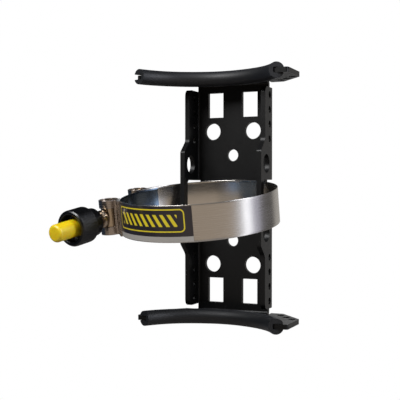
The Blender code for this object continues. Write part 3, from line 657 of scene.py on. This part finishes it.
def loop_strap(name, node, pin, side):
    """side is +1 where the tail runs towards larger angles from the pin and -1 where it runs back."""
    loop = Axis(pin, BAND.z, pin - BAND.origin)
    reach, centre_angle, _ = BAND.polar(pin[None])
    reach, centre_angle = float(reach[0]), float(centre_angle[0])
    inner, _, first, last, half_width = arc_extent(node, centre_angle + pi)
    tail_angle = (last - centre_angle if side > 0 else centre_angle - first) % tau
    coil = reach - inner - STRAP_THICKNESS / 2
    low_leg = inner + STRAP_THICKNESS / 2
    high_leg = low_leg + STRAP_THICKNESS + LEG_GAP
    leave = OUTER_LEG_START / high_leg
    tail_in = np.linspace(tail_angle, 0, 40)[:-1]
    inner_leg = np.column_stack([low_leg * np.cos(tail_in), low_leg * np.sin(tail_in)])
    turn = np.linspace(-pi, COIL_END, 72)
    coiled = np.column_stack([reach + coil * np.cos(turn), coil * np.sin(turn)])
    tail_out = np.linspace(leave, tail_angle, 40)
    outer_leg = np.column_stack([high_leg * np.cos(tail_out), high_leg * np.sin(tail_out)])
    bend_start, bend_end = coiled[-1], outer_leg[0]
    out_of = BEND_PULL * np.array([-sin(turn[-1]), cos(turn[-1])])
    into = BEND_PULL * np.array([-sin(tail_out[0]), cos(tail_out[0])])
    t = np.linspace(0, 1, 10)[1:-1, None]
    bend = ((1 - t) ** 3 * bend_start + 3 * (1 - t) ** 2 * t * (bend_start + out_of)
            + 3 * (1 - t) * t ** 2 * (bend_end - into) + t ** 3 * bend_end)
    path = np.vstack([inner_leg, coiled, bend, outer_leg])
    along = distance(path)
    rim = np.linspace(WINDOW_HALF, half_width, 13)
    rows = np.concatenate([-rim[::-1], np.linspace(-WINDOW_HALF, WINDOW_HALF, 29)[1:], rim[1:]])
    radius = np.hypot(path[:, 0], path[:, 1])
    angle = centre_angle + side * np.arctan2(path[:, 1], path[:, 0])
    outer_start = along[-len(outer_leg)]
    sink = np.zeros((len(path), len(rows)))
    for weld_x in WELD_COLUMNS:
        for weld_y in WELD_ROWS:
            away = np.hypot(along[:, None] - outer_start - weld_x, rows[None, :] - weld_y)
            sink += WELD_DEPTH * np.exp(-(away / WELD_RADIUS) ** 4)
    points = BAND.world(radius[:, None] - sink, angle[:, None], rows[None, :])
    outward = path[:, 0] - reach
    past_band = (outward > -WINDOW_REACH) & (np.arange(len(path)) >= len(inner_leg))
    between_rims = (np.roll(rows, -1) > -WINDOW_HALF + HAIR) & (rows < WINDOW_HALF - HAIR)
    keep = ~(past_band[:, None] & between_rims[None, :])
    piece = tidy(grid_piece(name, points, along, rows, keep=keep), closed=False)
    wall = piece.modifiers.new("wall", "SOLIDIFY")
    wall.thickness = STRAP_THICKNESS
    wall.offset = 0
    edge = piece.modifiers.new("edge", "BEVEL")
    edge.width = 0.25 * MM
    edge.segments = 2
    edge.limit_method = "ANGLE"
    edge.angle_limit = radians(50)
    return piece


for end, pin, side in (("front", FRONT_PIN, 1), ("rear", REAR_PIN, -1)):
    node = f"{end}_loop_strap"
    dress(loop_strap(f"{end}_loop", node, pin, side), FOLDED, "clamp_band", "stainless_steel", node)

# %% [markdown]
# ## Bars in the loops
#
# The front bar is turned with a cup in each end. The rear bar has the open slot that the bolt drops into.
# Both are softened copies of their CAD solids, like the plate.

# %% Bars
dress(softened_copy("bolt_cross_pin", "front_bar", 0.3 * MM), TURNED, "swing_bolt", "stainless_steel",
      "bolt_cross_pin")
dress(softened_copy("rear_trunnion", "rear_bar", 0.3 * MM), TURNED, "trunnion", "stainless_steel",
      "rear_trunnion")

# %% [markdown]
# ## Bolt, sleeve and washer
#
# The shank's thread is a radius that rises and falls with height minus turns times the pitch, which is a
# helix. The sleeve has two rounded ribs, and both it and the washer are plain turned profiles with small
# edge radii.


# %% Threaded bolt
def stations(node):
    """(start, end, outer radius) of a node along the bolt."""
    radius, _, height = BOLT.polar(corners_of(node))
    return height.min(), height.max(), radius.max()


THREAD_PITCH = 2.0 * MM
THREAD_DEPTH = 1.1 * MM
NECK_RADIUS = 5.0 * MM
NECK_TAPER = 2.0 * MM
THREAD_FLANK = 1.35
PLAIN_END = 1.5 * MM
TIP_CHAMFER = 0.8 * MM
TIP_DROP = 1.8 * MM
SMALL_EDGE = 0.5 * MM


def threaded_bolt(name, node, thread_start, steps=48, per_turn=10):
    start, end, radius = stations(node)
    head = fillet([(0, start), (NECK_RADIUS, start, SMALL_EDGE), (NECK_RADIUS, thread_start - NECK_TAPER),
                   (radius - THREAD_DEPTH, thread_start)])
    height = np.arange(thread_start, end - PLAIN_END, THREAD_PITCH / per_turn)[1:]
    tip = np.array([(radius - THREAD_DEPTH, end - TIP_CHAMFER), (radius - TIP_DROP, end), (0, end)])
    base = np.concatenate([head[:, 0], np.full(height.size, radius), tip[:, 0]])
    level = np.concatenate([head[:, 1], height, tip[:, 1]])
    angle = np.arange(steps) * tau / steps
    turns = level[:, None] / THREAD_PITCH - angle[None, :] / tau
    groove = 1 - np.minimum(1, THREAD_FLANK * np.abs(2 * (turns % 1) - 1))
    fade = np.clip((level - thread_start) / (2 * THREAD_PITCH), 0, 1)
    fade *= np.clip((end - PLAIN_END - level) / THREAD_PITCH, 0, 1)
    points = BOLT.world(base[:, None] - THREAD_DEPTH * groove * fade[:, None], angle[None, :], level[:, None])
    column = np.arange(steps + 1) * tau / steps * radius
    return tidy(grid_piece(name, points, level - start, column, wrap_across=True), sharp=60)


sleeve_start, sleeve_end, sleeve_radius = stations("spacer_sleeve")
dress(threaded_bolt("threaded_bolt", "t_bolt", sleeve_start), TURNED, "swing_bolt", "stainless_steel",
      "t_bolt")

# %% Sleeve and washer
BORE = 8.3 * MM
WAIST_DEPTH = 1.5 * MM
RIB_SHARE = 0.42
RIB_ROUND = 0.8
RIB_SHOULDER = 0.6 * MM


def ribbed_sleeve(name):
    waist, shoulder = sleeve_radius - WAIST_DEPTH, sleeve_radius - RIB_SHOULDER
    rib = (sleeve_end - sleeve_start) * RIB_SHARE
    profile = fillet([
        (BORE, sleeve_start), (shoulder, sleeve_start, SMALL_EDGE),
        (sleeve_radius, sleeve_start + rib / 2, rib * RIB_ROUND), (waist, sleeve_start + rib, SMALL_EDGE),
        (waist, sleeve_end - rib, SMALL_EDGE), (sleeve_radius, sleeve_end - rib / 2, rib * RIB_ROUND),
        (shoulder, sleeve_end, SMALL_EDGE), (BORE, sleeve_end),
    ], 6)
    return turned(name, BOLT, profile, closed_profile=True)


def ring(name, node, bore, edge):
    """A plain washer or bush: a rectangle with round outer edges."""
    start, end, radius = stations(node)
    profile = fillet([(bore, start), (radius, start, edge), (radius, end, edge), (bore, end)])
    return turned(name, BOLT, profile, closed_profile=True)


dress(ribbed_sleeve("ribbed_sleeve"), TURNED, "swing_bolt", "stainless_steel", "spacer_sleeve")
dress(ring("washer", "thrust_washer", BORE, 0.4 * MM), TURNED, "washer", "stainless_steel", "thrust_washer")
dress(ring("brass_bush", "knob_insert", BORE, 0.3 * MM), BRASS, "knob", "brass", "knob_insert")

# %% [markdown]
# ## Knurled knob
#
# A diamond knurl is two sets of crossed grooves. At any point the depth is the deeper of two triangle
# waves, one winding to the right and one to the left round the knob, so the peaks are small pyramids 2 mm
# apart.

# %% Knob
KNURL_PITCH = 2.0 * MM
KNURL_DEPTH = 0.55 * MM
COLLAR_RADIUS = 16.2 * MM
COLLAR_LENGTH = 10.5 * MM
GROOVE_RADIUS = 14.2 * MM
GROOVE_WIDTH = 2.0 * MM
RECESS_RADIUS = 16.0 * MM
RECESS_DEPTH = 15.0 * MM
BUSH_PLAY = 0.3 * MM
GRIP_CHAMFER = 1.6 * MM
KNURL_INSET = 1.8 * MM
KNURL_STEP_DOWN = 0.3 * MM
KNURL_STEPS = 5


def knob_piece(name, node):
    start, end, radius = stations(node)
    bore = stations("knob_insert")[2] + BUSH_PLAY
    collar_end = start + COLLAR_LENGTH
    grip_start = collar_end + GROOVE_WIDTH
    recess_floor = end - RECESS_DEPTH
    knurl_low, knurl_high = grip_start + KNURL_INSET, end - KNURL_INSET
    rear = fillet([
        (bore, recess_floor), (bore, start), (COLLAR_RADIUS, start, 1.2 * MM),
        (COLLAR_RADIUS, collar_end, 0.8 * MM),
        (GROOVE_RADIUS, collar_end, SMALL_EDGE), (GROOVE_RADIUS, grip_start, SMALL_EDGE),
        (radius - GRIP_CHAMFER, grip_start, SMALL_EDGE), (radius - KNURL_STEP_DOWN, knurl_low),
    ])
    height = np.arange(knurl_low, knurl_high, KNURL_PITCH / KNURL_STEPS)[1:]
    front = fillet([
        (radius - KNURL_STEP_DOWN, knurl_high), (radius - GRIP_CHAMFER, end, 0.6 * MM),
        (RECESS_RADIUS, end, 0.8 * MM), (RECESS_RADIUS, recess_floor, 1.5 * MM), (bore, recess_floor),
    ])
    base = np.concatenate([rear[:, 0], np.full(height.size, radius), front[:, 0]])
    level = np.concatenate([rear[:, 1], height, front[:, 1]])
    count = round(tau * radius / KNURL_PITCH)
    steps = count * KNURL_STEPS
    angle = np.arange(steps) * tau / steps
    wind = angle[None, :] * count / tau
    rise = level[:, None] / KNURL_PITCH
    left, right = (np.abs(2 * ((wind + slope * rise) % 1) - 1) for slope in (0.5, -0.5))
    knurled = (level > knurl_low) & (level < knurl_high) & (base > radius - 0.1 * MM)
    depth = KNURL_DEPTH * np.clip(1.25 * np.maximum(left, right) - 0.25, 0, 1) * knurled[:, None]
    points = BOLT.world(base[:, None] - depth, angle[None, :], level[:, None])
    column = np.arange(steps + 1) * tau / steps * radius
    return tidy(grid_piece(name, points, level - start, column, wrap_across=True), sharp=70)


dress(knob_piece("knurled_knob", "knob_grip"), ANODISED, "knob", "knob_black", "knob_grip")

# %% [markdown]
# ## Thread cap
#
# Dipping leaves a cap with a bead at its mouth, straight sides and a softly rounded end. It is hollow, so
# its profile runs down the outside and back up the bore.


# %% Cap
CAP_WALL = 2.0 * MM
CAP_DOME = 3.6 * MM
BEAD_LENGTH = 3.0 * MM
BEAD_HEIGHT = 0.3 * MM
CAP_DRAFT = 0.2 * MM


def cap_piece(name, node):
    start, end, radius = stations(node)
    profile = fillet([
        (0, end), (radius - CAP_DRAFT, end, CAP_DOME),
        (radius - BEAD_HEIGHT, start + BEAD_LENGTH, SMALL_EDGE), (radius, start + BEAD_LENGTH / 2, 0.8 * MM),
        (radius, start, 0.6 * MM), (BORE, start, 0.4 * MM), (BORE, end - CAP_WALL), (0, end - CAP_WALL),
    ], 6)
    return turned(name, BOLT, profile, steps=72)


dress(cap_piece("vinyl_cap", "thread_cap"), VINYL, "cap", "cap_yellow", "thread_cap")

# %% [markdown]
# ## Stage, light and camera
#
# The bracket is held by its rear face, so the floor is a pale table below it. Bright metal shows its
# surroundings rather than its own colour, so the studio round it is drawn as soft cards, each with a
# direction, a size in degrees and a brightness: a tall key at the right, warm low cards in front, dim ones
# behind, a dark blue left side and a wide one overhead. Two soft boxes, above the front and at the right,
# add the highlights on the painted pieces.

# %% Stage
FLOOR_Z = -0.36
FLOOR_HALF = 0.7
floor_corners = [(-FLOOR_HALF, -FLOOR_HALF, FLOOR_Z), (FLOOR_HALF, -FLOOR_HALF, FLOOR_Z),
                 (FLOOR_HALF, FLOOR_HALF, FLOOR_Z), (-FLOOR_HALF, FLOOR_HALF, FLOOR_Z)]
floor_mesh = bpy.data.meshes.new("floor")
floor_mesh.from_pydata(floor_corners, [], [(0, 1, 2, 3)])
floor = bpy.data.objects.new("floor", floor_mesh)
bpy.context.scene.collection.objects.link(floor)


def lit_backdrop(tree, surface, seen, cast):
    """What is seen directly of the backdrop is evenly white; what lights the object is its own shade."""
    path = add(tree, "ShaderNodeLightPath")
    mixed = add(tree, "ShaderNodeMixShader", {0: path.outputs["Is Camera Ray"], 1: cast, 2: seen})
    tree.links.new(mixed.outputs["Shader"], surface)


def pale_floor():
    made, tree, shader = new_finish("pale_floor", Roughness=0.8)
    shader.inputs["Base Color"].default_value = linear("#8f8984")
    seen = add(tree, "ShaderNodeEmission", {"Color": linear("#ffffff"), "Strength": 1.0})
    lit_backdrop(tree, tree.nodes["Material Output"].inputs["Surface"], seen.outputs["Emission"],
                 shader.outputs["BSDF"])
    return made


floor.data.materials.append(pale_floor())
print("floor at", FLOOR_Z, "m")

# %% Studio cards
CARDS = (
    # azimuth from +X, elevation, half width, half height, softness in degrees; colour; brightness
    (-52, -15, 40, 15, 12, "#e0cfbc", 0.58),
    (-112, -14, 22, 8, 8, "#e3d2bd", 0.5),
    (-4, 2, 9, 34, 12, "#d9dbe4", 0.75),
    (5, 2, 7, 34, 7, "#eef3ff", 2.1),
    (20, 0, 9, 30, 10, "#cfd0e6", 0.8),
    (44, 0, 14, 30, 14, "#b8b2ac", 0.22),
    (84, 0, 20, 26, 14, "#e6e2dc", 0.62),
    (113, 4, 12, 12, 10, "#ffffff", 0.9),
    (160, -4, 30, 30, 20, "#30455c", 0.28),
    (-165, -10, 26, 24, 16, "#30455c", 0.45),
    (-100, 60, 70, 22, 16, "#f4f6ff", 0.8),
)
AMBIENT = "#1c1f24"


def studio_world():
    made = bpy.data.worlds.new("studio")
    made.use_nodes = True
    tree = made.node_tree

    direction = add(tree, "ShaderNodeTexCoord").outputs["Generated"]
    where = add(tree, "ShaderNodeSeparateXYZ", {"Vector": direction})
    azimuth = maths(tree, "ARCTAN2", where.outputs["Y"], where.outputs["X"])
    elevation = maths(tree, "ARCSINE", where.outputs["Z"])

    def within(value, middle, half, soft):
        """1 where an angle is within half of the middle, falling to 0 over the soft edge."""
        off = maths(tree, "ABSOLUTE", maths(tree, "SUBTRACT", value, radians(middle)))
        off = maths(tree, "MINIMUM", off, maths(tree, "SUBTRACT", tau, off))
        edge = add(tree, "ShaderNodeMapRange", {"Value": off, "From Min": radians(half - soft / 2),
                                                "From Max": radians(half + soft / 2), "To Min": 1.0,
                                                "To Max": 0.0}, interpolation_type="SMOOTHSTEP")
        return edge.outputs["Result"]

    total = add(tree, "ShaderNodeRGB").outputs["Color"]
    total.default_value = linear(AMBIENT)
    for middle, height, half_width, half_height, soft, colour, brightness in CARDS:
        shape = maths(tree, "MULTIPLY", within(azimuth, middle, half_width, soft),
                      within(elevation, height, half_height, soft))
        lit = add(tree, "ShaderNodeVectorMath", {0: [c * brightness for c in linear(colour)[:3]]},
                  operation="SCALE")
        tree.links.new(shape, lit.inputs["Scale"])
        both = add(tree, "ShaderNodeVectorMath", {0: total, 1: lit.outputs["Vector"]}, operation="ADD")
        total = both.outputs["Vector"]
    cast = tree.nodes["Background"]
    tree.links.new(total, cast.inputs["Color"])
    seen = add(tree, "ShaderNodeBackground", {"Color": linear("#ffffff"), "Strength": 1.0})
    lit_backdrop(tree, tree.nodes["World Output"].inputs["Surface"], seen.outputs["Background"],
                 cast.outputs["Background"])
    return made


bpy.context.scene.world = studio_world()
bpy.context.scene.view_settings.view_transform = "Standard"
print("studio cards:", len(CARDS))


# %% Lights
def soft_box(name, place, target, width, height, power, colour="#ffffff"):
    light = bpy.data.lights.new(name, "AREA")
    light.shape = "RECTANGLE"
    light.size = width
    light.size_y = height
    light.energy = power
    light.color = linear(colour)[:3]
    lamp = bpy.data.objects.new(name, light)
    lamp.location = place
    lamp.rotation_euler = (Vector(target) - Vector(place)).to_track_quat("-Z", "Y").to_euler()
    bpy.context.scene.collection.objects.link(lamp)
    print(name, power, "W")
    return lamp


MIDDLE = (0.0, -0.08, 0.0)
soft_box("front_box", (-0.5, -1.1, 1.0), MIDDLE, 0.8, 0.6, 22)
soft_box("right_box", (1.3, -0.3, 0.7), MIDDLE, 0.5, 0.9, 12, "#f2f5ff")

# %% Camera
CAMERA_PLACE = (0.3852, -1.0081, 0.0072)
CAMERA_YAW = radians(23.35)
CAMERA_PITCH = radians(-1.1)
SENSOR_WIDTH = 36.0
LENS = 74.95
SHIFT_X, SHIFT_Y = 0.0032, 0.0207
camera_data = bpy.data.cameras.new("camera")
camera_data.sensor_width = SENSOR_WIDTH
camera_data.lens = LENS
camera_data.shift_x = SHIFT_X
camera_data.shift_y = SHIFT_Y
camera_data.clip_start = 0.05
camera = bpy.data.objects.new("camera", camera_data)
camera.location = CAMERA_PLACE
camera.rotation_euler = (pi / 2 + CAMERA_PITCH, 0, CAMERA_YAW)
bpy.context.scene.collection.objects.link(camera)
bpy.context.scene.camera = camera
print("camera at", CAMERA_PLACE)
